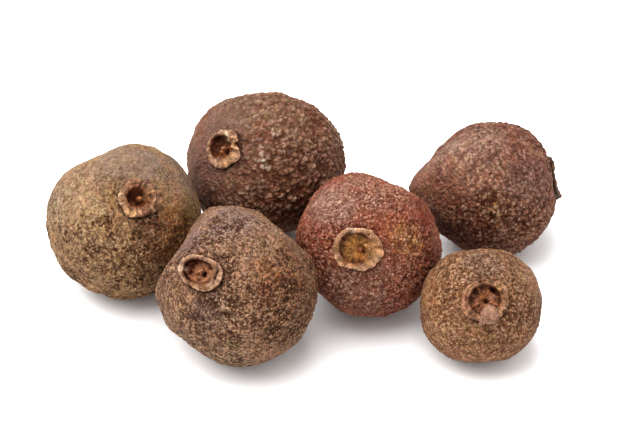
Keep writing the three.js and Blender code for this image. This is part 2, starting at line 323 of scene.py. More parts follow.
def domes(points, size, lane):
    """Bumps from 0 to 1: one of random height round a random seed in every cube of a lattice,
    1 - (distance / 0.8)^2, with creases where the two nearest seeds are equally far."""
    scaled = points / size
    base = np.floor(scaled)
    first = np.full(len(points), 9.0)
    second, mark = first.copy(), 0 * first
    for step in np.ndindex(3, 3, 3):
        cube = base + step - 1
        seed = cube + np.stack([chance(cube, lane + axis) for axis in range(3)], 1)
        far = np.linalg.norm(seed - scaled, axis=1)
        second = np.where(far < first, first, np.minimum(second, far))
        mark = np.where(far < first, chance(cube, lane + 3), mark)
        first = np.minimum(first, far)
    crease = smooth_step(second - first, -0.1, 0.3)
    return np.clip(1 - (first / 0.8) ** 2, 0, 1) * crease * (0.4 + 0.6 * mark)


def near(directions, where, spread):
    """Bell curve of the angle to a direction: exp(-(angle / spread)^2)."""
    away = np.arccos(np.clip(directions @ towards(*where), -1, 1))
    return np.exp(-((away / math.radians(spread)) ** 2))


def globe(rows, columns):
    """Rings of unit vectors, sin(angle) (cos(clock), sin(clock)) and cos(angle), by the angle
    from +Z and the clock angle round it, then one at each end. Returns both angles too."""
    clock = np.arange(columns) * (2 * math.pi / columns)
    angle = np.arange(1, rows) * (math.pi / rows)
    angle, clock = [part.ravel() for part in np.meshgrid(angle, clock, indexing="ij")]
    angle, clock = np.append(angle, [0, math.pi]), np.append(clock, [0, 0])
    ball = np.stack([np.sin(angle) * np.cos(clock), np.sin(angle) * np.sin(clock), np.cos(angle)], 1)
    return angle, clock, ball


def oval_radius(width, body, clock):
    """Radius of an oval round the crown's axis: half the width, times 1 plus the share longer
    times cos 2(clock - clock angle of its long way)."""
    _, longer, along = body["crown"]
    return width / 2 * (1 + longer * np.cos(2 * (clock - math.radians(along))))


def closed_tube(name, points, columns, attributes):
    """Mesh from rings of points and one point at each end: quads between rings, fans at the
    ends. Attributes hold one number for each point, or a colour."""
    rings = (len(points) - 2) // columns
    ring = np.arange(rings * columns).reshape(rings, columns)
    after = np.roll(ring, -1, axis=1)
    quads = np.stack([ring[:-1], ring[1:], after[1:], after[:-1]], -1).reshape(-1, 4)
    start, end = rings * columns, rings * columns + 1
    cap = np.stack([np.full(columns, start), ring[0], after[0]], -1)
    foot = np.stack([np.full(columns, end), after[-1], ring[-1]], -1)
    mesh = bpy.data.meshes.new(name)
    mesh.from_pydata(points.tolist(), [], quads.tolist() + cap.tolist() + foot.tolist())
    for key, values in attributes.items():
        kind, part = ("FLOAT", "value") if values.ndim == 1 else ("FLOAT_COLOR", "color")
        layer = mesh.attributes.new(key, kind, "POINT")
        layer.data.foreach_set(part, values.astype(np.float32).ravel())
    mesh.shade_smooth()
    piece = bpy.data.objects.new(name, mesh)
    bpy.context.scene.collection.objects.link(piece)
    return piece


def linear(colour):
    """sRGB hex value to linear red, green and blue, with alpha 1."""
    parts = [(colour >> shift & 255) / 255 for shift in (16, 8, 0)]
    return [c / 12.92 if c <= 0.04045 else ((c + 0.055) / 1.055) ** 2.4 for c in parts] + [1]


def dyed(stain, share, colour):
    """Colours of points, each moved by its own share towards one colour."""
    return stain + share[:, None] * (np.array(linear(colour)) - stain)


def add(tree, kind, settings=(), **inputs):
    """Adds a node, sets its properties, and links or sets the inputs named here (_ for a space;
    an input's number after in_)."""
    node = tree.nodes.new("ShaderNode" + kind)
    for key, value in dict(settings).items():
        setattr(node, key, value)
    for key, value in inputs.items():
        socket = node.inputs[int(key[3:]) if key.startswith("in_") else key.replace("_", " ")]
        if isinstance(value, bpy.types.NodeSocket):
            tree.links.new(value, socket)
        else:
            socket.default_value = value
    return node.outputs


def fresh_material(name):
    """New material with an empty node tree."""
    material = bpy.data.materials.new(name)
    material.use_nodes = True
    material.node_tree.nodes.clear()
    return material, material.node_tree


def skin_material(look):
    """Dried pericarp of allspice: matt and sandy, with painted highlights on the ridges. The colour
    comes in broad stains and painted shade; each gland is a little lighter or darker than the next,
    with a dark rim of painted shade."""
    material, tree = fresh_material("dried allspice husk " + look["slot"].replace("_", " "))
    place = add(tree, "TexCoord")["Object"]
    stain = add(tree, "Attribute", {"attribute_name": "stain"})["Color"]
    ridge, rough, pitted = [
        add(tree, "Attribute", {"attribute_name": part})["Fac"] for part in ("ridge", "rough", "pitted")]
    wobble = add(tree, "TexNoise", Vector=place, Scale=1 / (WANDER * MM), Detail=2.0)["Color"]
    bent = add(tree, "VectorMath", {"operation": "MULTIPLY_ADD"}, in_0=wobble,
               in_1=(WANDER_BY * MM,) * 3, in_2=place)[0]
    gland = add(tree, "TexVoronoi", Vector=bent, Scale=1 / (look["grain"] * MM))
    own = add(tree, "SeparateColor", Color=gland["Color"])
    grit = add(tree, "TexNoise", Vector=place, Scale=1 / (GRIT * MM), Detail=1.0)[0]
    hues = add(tree, "TexNoise", Vector=place, Scale=1 / (HUE_PATCH * MM), Detail=3.0,
               Roughness=0.7)["Color"]
    mottle = add(tree, "TexNoise", Vector=place, Scale=1 / (SHADE_PATCH * MM), Detail=2.0)[0]

    # The husk itself: its stains and painted shade, with small shifts of hue, cloudy shades and some
    # dull grey glands.
    cloudy = add(tree, "MapRange", Value=mottle, From_Min=0.35, From_Max=0.65, To_Min=0.78, To_Max=1.2)[0]
    tone = add(tree, "Mix", SOFT, in_0=0.3, in_6=stain, in_7=hues)[2]
    tone = add(tree, "Mix", TINT, in_0=1.0, in_6=tone, in_7=cloudy)[2]
    grey = add(tree, "Mix", OVER, in_0=0.5, in_6=tone, in_7=linear(look["grey"]))[2]
    dull = add(tree, "MapRange", EASED, Value=own[1], From_Min=0.55, From_Max=0.95)[0]
    tone = add(tree, "Mix", OVER, in_0=dull, in_6=tone, in_7=grey)[2]

    # The creases are painted dark with painted shade, and the tops of the ridges are painted pale
    # with painted highlights. Some glands are pale, some are dark gaps, and the corners between them
    # are dark: painted shade in the gaps and corners. They differ more where the skin is rough. Each
    # share eases in between two values, up to a most, and is then multiplied.
    sand = add(tree, "MapRange", Value=rough, To_Min=0.35, To_Max=1.0)[0]
    sand = add(tree, "Math", TIMES, in_0=sand, in_1=look["sand"])[0]
    glint = add(tree, "Math", TIMES, in_0=own[2], in_1=rough)[0]
    gaps, pales = look["gaps"], 1 - look["pales"]
    shares = []
    for value, low, high, most, times in (
            (ridge, 0.45, 0.1, 0.75, rough), (ridge, 0.5, 0.85, 1.0, glint),
            (own[0], pales - 0.12, pales + 0.12, 0.48, sand),
            (own[0], gaps + 0.08, gaps - 0.08, 0.86, sand), (gland["Distance"], 0.45, 0.8, 0.86, sand)):
        share = add(tree, "MapRange", EASED, Value=value, From_Min=low, From_Max=high, To_Max=most)[0]
        shares.append(add(tree, "Math", TIMES, in_0=share, in_1=times)[0])
    crease, top, pale, gap, corner = shares

    # Pinholes: where fine noise is lower than the share of them allows. They are painted black with
    # painted shade.
    holes = add(tree, "TexNoise", Vector=bent, Scale=1 / (1.4 * look["grain"] * MM), Detail=2.0)[0]
    allowed = add(tree, "Math", {"operation": "MINIMUM"}, in_0=pitted, in_1=1.0)[0]
    allowed = add(tree, "Math", TIMES, in_0=allowed, in_1=0.16)[0]
    hole = add(tree, "Math", {"operation": "SUBTRACT"}, in_0=allowed, in_1=holes)[0]
    hole = add(tree, "MapRange", EASED, Value=hole, From_Min=-0.31, From_Max=-0.28)[0]
    black = add(tree, "Math", TIMES, in_0=hole, in_1=0.88)[0]
    # deep: painted shade in the dark gaps, the corners between glands and the pinholes.
    deep = add(tree, "Math", {"operation": "MAXIMUM"}, in_0=gap, in_1=corner)[0]
    deep = add(tree, "Math", {"operation": "MAXIMUM"}, in_0=deep, in_1=black)[0]
    for share, colour in ((crease, "dark"), (top, "tip"), (pale, "tip"), (deep, "dark")):
        tone = add(tree, "Mix", OVER, in_0=share, in_6=tone, in_7=linear(look[colour]))[2]
    speck = add(tree, "MapRange", Value=grit, From_Min=0.38, From_Max=0.62, To_Min=0.66, To_Max=1.34)[0]
    gritty = add(tree, "Mix", TINT, in_0=1.0, in_6=tone, in_7=speck)[2]
    tone = add(tree, "Mix", OVER, in_0=sand, in_6=tone, in_7=gritty)[2]

    # The finest relief: each gland is a low dome, with grit on it, and the pinholes go in.
    lift = add(tree, "Math", TIMES, in_0=grit, in_1=0.8)[0]
    lift = add(tree, "Math", {"operation": "SUBTRACT"}, in_0=lift, in_1=gland["Distance"])[0]
    lift = add(tree, "Math", {"operation": "MULTIPLY_ADD"}, in_0=hole, in_1=-1.2, in_2=lift)[0]
    bump = add(tree, "Bump", Height=lift, Strength=1.0, Distance=0.6 * look["grain"] * MM)[0]
    shader = add(tree, "BsdfPrincipled", Base_Color=tone, Roughness=0.7, Specular_IOR_Level=0.1,
                 Normal=bump)[0]
    add(tree, "OutputMaterial", Surface=shader)
    return material


def make_skin(name, seed):
    """The skin on a globe round the crown's axis. Each noise is given with its size in mm and
    its lane."""
    body, look = BODIES[name], SKINS[name]
    angle, clock, ball = globe(ROWS, ROUND)
    radius = skin_radius(angle, body)
    facing = ball @ turned(body["crown_faces"])
    local = ball * radius[:, None]
    spots = local + 50 * (seed + 1)

    rough = 0.65 + 0.35 * clouds(spots, 1.7, 5) + sum(
        change * near(facing, where, spread) for where, spread, change in look["rough"])
    rough = np.clip(rough, 0.08, 1)
    pitted = look["pinholes"] * (1 + 0.9 * clouds(spots, 1.1, 6)) + sum(
        change * near(facing, where, spread) for where, spread, change in look["pitted"])
    pitted = pitted * smooth_step(clouds(spots, 0.55, 7), -0.1, 0.5)
    pitch, height = look["crumple"]
    bend = np.stack([clouds(spots, 0.6 * pitch, lane) for lane in (30, 31, 32)], 1)
    swollen = domes(spots + 0.25 * pitch * bend, 0.8 * pitch, 34)
    ridge = look["swollen"] * swollen + (1 - look["swollen"]) * ridges(spots, pitch, 11)
    relief = height * rough * (2 * ridge - 1)
    lumps = 0.5 * clouds(spots, 1.3, 3) + 0.5 * clouds(spots, 0.65, 4)
    relief = relief + 2 * look["lumps"] * lumps
    for where, spread, up in look["dents"]:
        relief = relief + up * near(facing, where, spread)

    stain = np.array([linear(look["body"])] * len(spots))
    lighter = smooth_step(clouds(spots, 1.5, 8) + 0.6 * clouds(spots, 0.7, 9), -0.2, 0.7)
    stain = dyed(stain, 0.6 * lighter, look["light"])
    # Painted shade and light: darker in the hollows of the broad lumps and lighter on their tops.
    stain = stain * (1 + 0.25 * lumps)[:, None]
    edge = 0.35 * clouds(spots, 0.8, 10) + 0.25 * clouds(spots, 0.35, 12)
    for where, spread, colour, strength in look["stains"]:
        share = near(facing, where, spread)
        share = smooth_step(share + edge * np.sqrt(share), 0.1, 0.9)
        stain = dyed(stain, strength * share, colour)
    # Painted highlights on the ridges' tops, round the listed directions.
    top = smooth_step(ridge + 0.5 * clouds(spots, 0.25, 13), 0.45, 0.8)
    for where, spread, colour, strength in look["painted_highlights"]:
        share = near(facing, where, spread)
        share = smooth_step(share + edge * np.sqrt(share), 0.1, 0.7)
        stain = dyed(stain, strength * top * share, colour)
    rust = (0.15 * smooth_step(pitted, 0.1, 0.7))[:, None]
    stain = stain * (1 - rust) + rust * stain * np.array([0.8, 0.64, 0.48, 1])

    # The seat under the crown with the groove round it, and the scar of the stem at the other end.
    from_axis = radius * np.sin(angle) / oval_radius(CROWN_FOOT * body["crown"][0], body, clock)
    crown_side = np.cos(angle) > 0
    seat = np.where(crown_side, 1 - smooth_step(from_axis, 0.85, 1.02), 0)
    collar = np.where(crown_side, np.exp(-(((from_axis - 1.14) / 0.12) ** 2)), 0)
    from_stem = radius * np.sin(angle) / (SCAR["width"] / 2)
    stem_side = np.cos(angle) < 0
    scar = np.where(stem_side, 1 - smooth_step(from_stem, 0.5, 1.0), 0)
    scar_rim = np.where(stem_side, np.exp(-(((from_stem - 1.15) / 0.3) ** 2)), 0)
    relief = relief * (1 - 0.6 * scar) - SEAT * seat - COLLAR * collar
    relief = relief - SCAR["depth"] * scar + SCAR["rim"] * scar_rim
    # Painted shade in the groove round the crown and in the scar's dent.
    stain = stain * (1 - 0.55 * np.clip(collar + scar, 0, 1))[:, None]
    piece = closed_tube(name + "_skin", settle(local, body, seed, relief), ROUND,
                        {"stain": stain, "ridge": ridge, "rough": rough, "pitted": pitted})
    piece.data.materials.append(skin_material(look))
    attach(piece, "root")
    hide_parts(name)


for seed, name in enumerate(BODIES):
    make_skin(name, seed)

# ---------------------------------------------------------------------------------------------
# The crowns. Each is the dried calyx, which grows on the end away from the stem: a low ring of
# four withered lobes with a torn, papery lip, round a sunken floor with the stub of the style. It
# is tougher than the skin and paler.
# ---------------------------------------------------------------------------------------------
CROWN_ROUND, CROWN_ROWS = 280, 110
# Sizes in mm, in the crown's own frame: x to the right, y up, clock degrees from x towards y.
# hollow: width of the floor. rise: the lip's height above the skin. depth: the floor's below the
# lip. crest: where the lip is highest, as a share of the way from the floor's edge to the rim.
# offset: how far the hollow is off the middle, and which way. ragged: how torn the lip is.
# folded: height of the wrinkles. steep: how upright the inner wall is. neck: 1 where the outside
# is drawn in below the lip. edge_wear_and_highlight: how much paler the lip's very edge is, partly
# wear and partly a painted highlight.
# lobes: clock, spread, reach outwards, lift. arcs: clock, spread, radius, width, height.
# bumps and hollows: x, y, width, height. stains: x, y, spread, colour, strength; some are
# stains, some painted shade and a few painted highlights. lip, wall, floor, outer: the zones'
# colours; the wall's and the outside's are darkened with painted shade of the hollow and under
# the lip.
CROWNS = {
    "berry_left": {
        "hollow": 0.74, "crest": 0.6, "rise": 0.24, "depth": 0.52, "offset": (0.15, 141),
        "ragged": 0.03, "folded": 0.06, "steep": 0.6, "neck": 1.0,
        "lobes": [(35, 26, 0.06, 0.07), (-28, 26, 0.13, 0.03), (-140, 18, 0.15, 0.06),
                  (168, 14, 0.08, 0.06), (95, 24, 0.04, 0.08), (-85, 16, -0.05, -0.03),
                  (62, 8, -0.05, -0.06), (-165, 7, -0.06, -0.05)],
        "arcs": [(-15, 46, 0.76, 0.05, 0.1), (-5, 40, 0.62, 0.05, -0.08), (-140, 26, 0.68, 0.05, -0.12),
                 (-85, 26, 0.8, 0.05, 0.06), (85, 30, 0.62, 0.05, -0.06)],
        "bumps": [(0.08, 0.02, 0.15, 0.28), (-0.3, -0.12, 0.16, 0.12)],
        # The dark spot at the lower right, outside the rim, is painted shade where the crown meets the
        # skin.
        "stains": [(-0.64, -0.6, 0.3, 0x9A7852, 0.8), (-0.86, 0.36, 0.16, 0xB09070, 0.8),
                   (-0.97, -0.02, 0.09, 0xB09078, 0.6), (0.3, 0.84, 0.16, 0x8E6C4C, 0.6),
                   (0.58, 0.7, 0.26, 0x5E3E38, 0.8), (-0.1, 0.8, 0.34, 0x76503E, 0.6),
                   (0.85, -0.2, 0.3, 0x644234, 0.7), (0.08, 0.02, 0.15, 0x8E5C3C, 1.0),
                   (-0.36, -0.14, 0.2, 0x603828, 0.8), (0.45, 0.1, 0.3, 0x8A6848, 0.6),
                   (0.1, -0.8, 0.3, 0x6C4636, 0.8), (0.62, -0.62, 0.16, 0x3A2216, 0.7)],
        "edge_wear_and_highlight": 0.15, "lip": 0x86664E, "wall": 0x5E3420, "floor": 0x44200F, "outer": 0x4E3020,
    },
    "berry_back": {
        "hollow": 1.1, "crest": 0.45, "rise": 0.26, "depth": 0.42, "offset": (0.2, 175),
        "ragged": 0.03, "folded": 0.05, "steep": 0.7, "neck": 1.0,
        "lobes": [(2, 20, 0.26, -0.04), (-46, 22, 0.06, -0.04), (38, 7, -0.16, -0.05),
                  (-36, 7, -0.03, -0.05), (75, 26, 0.1, 0.08), (-95, 24, 0.0, -0.02),
                  (175, 34, -0.03, 0.03), (62, 12, 0.01, 0.03)],
        "arcs": [(70, 30, 0.6, 0.08, 0.06), (-20, 20, 0.62, 0.06, -0.06)],
        "bumps": [(-0.13, 0.0, 0.1, 0.22), (-0.12, -0.2, 0.1, 0.18), (-0.11, 0.18, 0.09, 0.14),
                  (0.1, -0.06, 0.12, -0.35), (-0.4, -0.3, 0.14, 0.08)],
        # The near-white stain at the top inside the rim is a painted highlight; the near-black ones at
        # the pit, on the hollow's left side and in the notch at the upper right are painted shade.
        "stains": [(0.62, -0.22, 0.32, 0x94704E, 0.9), (0.48, -0.58, 0.28, 0x93704F, 0.8),
                   (-0.14, 0.6, 0.22, 0xBAA68E, 1.0), (-0.44, 0.66, 0.2, 0xAC8872, 0.8),
                   (-0.13, 0.0, 0.16, 0x966A4E, 0.9), (-0.12, -0.22, 0.14, 0x8E5C3A, 0.9),
                   (0.1, -0.06, 0.13, 0x180A05, 1.0), (-0.7, 0.1, 0.16, 0x6A4434, 0.8),
                   (-0.45, 0.2, 0.28, 0x3A2012, 0.9), (-0.4, -0.2, 0.2, 0x42261A, 0.8),
                   (0.0, -0.82, 0.34, 0xA07E68, 0.8), (0.5, 0.5, 0.2, 0x8E6A4A, 0.7),
                   (0.62, 0.56, 0.1, 0x26140C, 0.9), (-0.95, -0.2, 0.14, 0x93705C, 0.7)],
        "edge_wear_and_highlight": 0.15, "lip": 0x927058, "wall": 0x5A3420, "floor": 0x6A3E28, "outer": 0x5E3828,
    },
    "berry_front": {
        "hollow": 1.22, "crest": 0.55, "rise": 0.25, "depth": 0.42, "offset": (0.15, 170),
        "ragged": 0.03, "folded": 0.05, "steep": 0.8, "neck": 1.0,
        "lobes": [(20, 34, 0.1, 0.04), (175, 40, 0.0, 0.06), (100, 30, 0.0, 0.03),
                  (-125, 40, -0.12, -0.02), (-45, 14, 0.03, -0.02), (60, 10, -0.03, -0.02)],
        "arcs": [(18, 32, 0.84, 0.06, 0.1), (17, 32, 0.98, 0.045, -0.17), (-62, 25, 0.72, 0.05, 0.06),
                 (70, 22, 0.74, 0.05, 0.06)],
        "bumps": [(-0.12, 0.1, 0.12, 0.12), (0.05, 0.01, 0.13, -0.3), (-0.05, -0.24, 0.1, 0.1),
                  (-0.28, -0.06, 0.09, 0.08), (0.1, 0.3, 0.1, 0.1), (0.3, -0.25, 0.1, 0.1),
                  (-0.25, -0.03, 0.08, 0.1)],
        # The near-black stains at the pit, round the hollow's left side and in the groove at the right
        # are painted shade.
        "stains": [(-0.12, 0.08, 0.18, 0x9E7058, 0.8), (0.05, 0.01, 0.13, 0x200802, 1.0),
                   (0.38, 0.17, 0.2, 0xA2784E, 0.9), (-0.6, -0.15, 0.14, 0x340C02, 1.0),
                   (-0.62, 0.1, 0.16, 0x320A02, 1.0), (-0.55, 0.34, 0.15, 0x320A02, 1.0),
                   (-0.38, 0.5, 0.12, 0x38120A, 0.9), (-0.15, -0.62, 0.26, 0x6A482E, 0.8),
                   (0.5, -0.5, 0.26, 0x7A5636, 0.8), (0.55, 0.5, 0.22, 0x6A4830, 0.7),
                   (1.04, 0.24, 0.12, 0xA2836A, 0.7), (0.9, 0.36, 0.08, 0x3C2010, 0.9),
                   (0.9, 0.12, 0.08, 0x3C2010, 0.9), (0.1, -0.45, 0.24, 0x74503A, 0.6),
                   (-0.3, -0.04, 0.14, 0x94683E, 0.6), (-1.0, -0.2, 0.2, 0xAE907A, 0.9),
                   (0.2, -0.85, 0.2, 0xAA8C76, 0.6), (-0.6, 0.72, 0.16, 0x9A8062, 0.6)],
        "edge_wear_and_highlight": 0.95, "lip": 0x806450, "wall": 0x340E02, "floor": 0x7C533C, "outer": 0x74523C,
    },
    "berry_middle": {
        "hollow": 1.42, "crest": 0.55, "rise": 0.24, "depth": 0.36, "offset": (0.2, 168),
        "ragged": 0.035, "folded": 0.06, "steep": 0.85, "neck": 1.0,
        "lobes": [(133, 18, 0.06, 0.03), (60, 18, 0.05, 0.03), (-2, 24, 0.05, -0.05),
                  (185, 40, 0.1, 0.0), (-138, 22, 0.07, 0.0), (-70, 24, 0.03, -0.02),
                  (95, 14, -0.04, 0.0), (-105, 12, -0.03, 0.0)],
        "arcs": [(-30, 7, 0.75, 0.22, 0.08), (42, 9, 0.7, 0.22, 0.09), (-60, 6, 0.6, 0.2, 0.06),
                 (100, 6, 0.5, 0.2, 0.05), (5, 6, 0.62, 0.2, 0.07), (-100, 6, 0.5, 0.2, 0.05),
                 (-15, 40, 0.86, 0.1, 0.05)],
        "bumps": [(0.06, -0.05, 0.11, 0.18), (0.06, -0.05, 0.24, -0.14), (0.24, 0.18, 0.1, 0.08),
                  (0.5, -0.05, 0.12, 0.06), (0.42, -0.42, 0.12, 0.05)],
        # The dark stains round the hollow's left side are painted shade.
        "stains": [(0.1, -0.08, 0.2, 0x5E2C16, 0.9), (0.06, -0.05, 0.09, 0x93604A, 1.0),
                   (-0.86, 0.05, 0.1, 0x442112, 0.9), (-0.76, 0.36, 0.12, 0x442112, 0.9),
                   (-0.5, 0.66, 0.12, 0x3C1C0C, 0.8), (-0.5, -0.66, 0.2, 0x6A4024, 0.8),
                   (0.0, -0.85, 0.24, 0x7A5232, 0.8), (0.85, 0.1, 0.3, 0x8C6644, 0.8),
                   (0.75, 0.5, 0.22, 0x7E5838, 0.8), (0.35, 0.78, 0.16, 0x5E3A22, 0.7),
                   (-0.3, 0.15, 0.3, 0x906638, 0.7), (0.1, -0.36, 0.22, 0x90592C, 0.7),
                   (0.5, 0.26, 0.24, 0xA47A54, 0.9), (0.6, -0.2, 0.3, 0x93704A, 0.7),
                   (0.45, -0.5, 0.24, 0x8A6440, 0.6), (-0.4, 0.95, 0.3, 0xAA8A76, 0.8),
                   (0.2, 0.98, 0.24, 0x9C7A64, 0.6), (-1.12, -0.1, 0.3, 0x80603E, 0.7),
                   (0.0, -0.98, 0.2, 0xA0806A, 0.7), (-0.75, -0.6, 0.14, 0x64442C, 0.7),
                   (0.95, -0.35, 0.16, 0xA48464, 0.7)],
        "edge_wear_and_highlight": 0.5, "lip": 0x9A745A, "wall": 0x4A2816, "floor": 0x805832, "outer": 0x6E4A34,
    },
    "berry_right_back": {
        "hollow": 1.0, "crest": 0.7, "rise": 0.13, "depth": 0.34, "offset": (0.0, 0),
        "ragged": 0.015, "folded": 0.025, "steep": 0.5, "neck": 0.0,
        "lobes": [(-124, 8, 0.08, 0.06), (-110, 26, 0.0, 0.08), (-165, 30, 0.0, 0.04),
                  (20, 34, 0.0, 0.06), (-48, 38, 0.0, 0.16), (100, 24, 0.1, 0.03), (158, 18, 0.12, 0.0),
                  (142, 8, -0.05, -0.04)],
        "arcs": [(40, 8, 0.4, 0.2, 0.06), (-90, 8, 0.4, 0.2, 0.06), (160, 8, 0.4, 0.2, 0.05)],
        "bumps": [(0.05, 0.02, 0.13, 0.16), (0.3, 0.1, 0.12, -0.08), (-0.25, -0.2, 0.12, 0.08)],
        "stains": [(0.05, 0.02, 0.13, 0x8A5A3C, 0.8), (-0.4, 0.85, 0.24, 0x86664C, 0.7),
                   (-0.85, 0.2, 0.24, 0x7E5E48, 0.7)],
        "edge_wear_and_highlight": 0.0, "lip": 0x5C4434, "wall": 0x402414, "floor": 0x4C2818, "outer": 0x37251C,
    },
    "berry_right_front": {
        "hollow": 1.3, "crest": 0.5, "rise": 0.28, "depth": 0.42, "offset": (0.08, 135),
        "ragged": 0.03, "folded": 0.09, "steep": 0.65, "neck": 1.0,
        "lobes": [(-85, 28, -0.08, -0.16), (35, 22, 0.06, 0.05), (150, 26, 0.08, 0.04),
                  (195, 34, 0.14, 0.0), (-22, 20, 0.03, 0.03), (95, 20, -0.02, 0.03),
                  (65, 8, -0.04, -0.04), (-175, 8, -0.03, -0.03)],
        "arcs": [(40, 16, 0.62, 0.07, -0.16), (105, 44, 0.68, 0.05, -0.1), (63, 9, 0.4, 0.2, 0.12),
                 (8, 9, 0.42, 0.22, 0.12), (140, 12, 0.4, 0.2, 0.05), (-30, 8, 0.4, 0.2, 0.1),
                 (178, 40, 0.93, 0.05, -0.09), (20, 30, 0.86, 0.05, -0.08),
                 (100, 44, 0.9, 0.045, -0.09)],
        "bumps": [(0.02, -0.02, 0.12, -0.2), (-0.2, 0.2, 0.14, 0.08), (0.3, 0.0, 0.12, 0.1),
                  (0.2, 0.3, 0.1, 0.08), (-0.35, -0.1, 0.12, 0.05)],
        # The near-black stains at the pit, along the hollow's upper side and at the lower right are
        # painted shade.
        "stains": [(0.02, -0.02, 0.11, 0x44261A, 0.9), (0.42, 0.44, 0.16, 0x2E140C, 0.95),
                   (0.25, 0.55, 0.12, 0x3C1E18, 0.9), (-0.14, 0.2, 0.22, 0x83532F, 0.7),
                   (-0.45, 0.46, 0.18, 0x34190E, 0.9), (-0.1, 0.62, 0.15, 0x38190C, 0.8),
                   (-0.66, 0.12, 0.14, 0x3C2014, 0.7), (-0.62, -0.25, 0.14, 0x4A2C1C, 0.6),
                   (0.62, 0.58, 0.15, 0x97784F, 0.8), (-1.0, 0.2, 0.2, 0x8C5E48, 0.8),
                   (-0.9, -0.2, 0.22, 0x785140, 0.8), (-0.85, 0.55, 0.2, 0x936A50, 0.6),
                   (0.3, 0.12, 0.2, 0x7C5848, 0.8), (0.84, -0.6, 0.18, 0x2A1812, 0.9),
                   (-0.1, 0.85, 0.26, 0x5E3C2A, 0.8), (0.9, 0.0, 0.24, 0x674630, 0.7),
                   (-0.75, -0.6, 0.24, 0x64422E, 0.8), (0.62, -0.4, 0.16, 0x7E5C48, 0.6)],
        "edge_wear_and_highlight": 0.15, "lip": 0x88664E, "wall": 0x58361F, "floor": 0x8A5C44, "outer": 0x5E4029,
    },
}
# Sizes in mm of the calyx's patterns: mottling, fine grain and the crumbs, with painted shade in
# the gaps between them.
PAPER_PATCH, PAPER_GRAIN, CRUMB = 0.2, 0.07, 0.13
# How often the heights are softened to find what light can't reach.
SOFTENINGS = 40


def spline(keys, count):
    """Uniform cubic B-spline drawn along by the keys, held at its ends by repeated end keys."""
    keys = np.concatenate([keys[:1], keys[:1], keys, keys[-1:], keys[-1:]])
    place = np.linspace(0, len(keys) - 3, count, endpoint=False)
    k = np.floor(place).astype(int)
    t = (place - k)[:, None, None]
    weights = ((1 - t) ** 3, 3 * t**3 - 6 * t**2 + 4, -3 * t**3 + 3 * t**2 + 3 * t + 1, t**3)
    return sum(weight * keys[k + i] for i, weight in enumerate(weights)) / 6


def bell(clock, where, spread):
    """exp(-(angle / spread)^2) of the angle round the crown, in degrees where not an array."""
    away = (clock - math.radians(where) + math.pi) % (2 * math.pi) - math.pi
    return np.exp(-((away / math.radians(spread)) ** 2))


def skin_height(body):
    """How far the skin is from the berry's middle along the crown's axis, at the crown's foot."""
    foot_angle = math.asin(CROWN_FOOT * body["crown"][0] / body["length"])
    return skin_radius(foot_angle, body) * math.cos(foot_angle)


def crown_keys(body, crown, clock, seed):
    """Keys of the crown's profile at every clock angle, from the middle of the floor over the
    lip and down to the foot, which is sunk in the skin. Each is radius, height, share of the
    hollow's offset, and zone: 0 floor, 1 wall, 2 lip, 3 outside."""
    across, skin = body["crown"][0], skin_height(body)
    foot = oval_radius(CROWN_FOOT * across, body, clock)
    reach = sum(out * bell(clock, where, spread) for where, spread, out, _ in crown["lobes"])
    lift = sum(up * bell(clock, where, spread) for where, spread, _, up in crown["lobes"])
    torn = np.sin(3 * clock + 2 * seed) * np.cos(5 * clock + seed)
    torn = torn + 0.6 * np.sin(11 * clock + 3 * seed) + 0.5 * np.sin(17 * clock + seed)
    torn = crown["ragged"] * torn
    depth = crown["depth"]
    floor = skin + crown["rise"] - depth
    lip = skin + crown["rise"] + lift + torn
    inner = oval_radius(crown["hollow"], body, clock)
    outer = oval_radius(across, body, clock) + reach + 0.5 * torn
    crest = inner + crown["crest"] * (outer - inner)
    held = crown["crest"]
    steep = 1 - 0.8 * crown["steep"]
    neck = foot + (1 - crown["neck"]) * (outer + 0.05 - foot)
    rows = [
        (0 * clock, floor, 1, 0), (0.33 * inner, floor, 1, 0), (0.66 * inner, floor, 1, 0),
        (0.9 * inner, floor + 0.04 * depth, 1, 0.2), (inner, floor + 0.18 * depth, 1, 0.8),
        (inner + 0.25 * steep * (crest - inner), floor + 0.5 * depth, 0.8, 1),
        (inner + 0.65 * steep * (crest - inner), lip - 0.2 * depth, 0.5, 1.2),
        (crest - 0.04, lip - 0.03, 1 - held, 1.8), (crest + 0.02, lip, 0.5 - 0.5 * held, 2),
        (0.5 * (crest + outer), lip - 0.01, 0, 2.1), (outer, lip - 0.05, 0, 2.3),
        (outer + 0.01, lip - 0.1, 0, 2.6), (0.3 * outer + 0.7 * neck, lip - 0.17, 0, 3),
        (neck + 0.02, skin + 0.02, 0, 3), (neck, skin - 0.15, 0, 3),
        (0.5 * foot, skin - 0.42, 0, 3), (0 * foot, skin - 0.45, 0, 3),
    ]
    return np.array([[part + 0 * clock for part in row] for row in rows]).transpose(0, 2, 1)


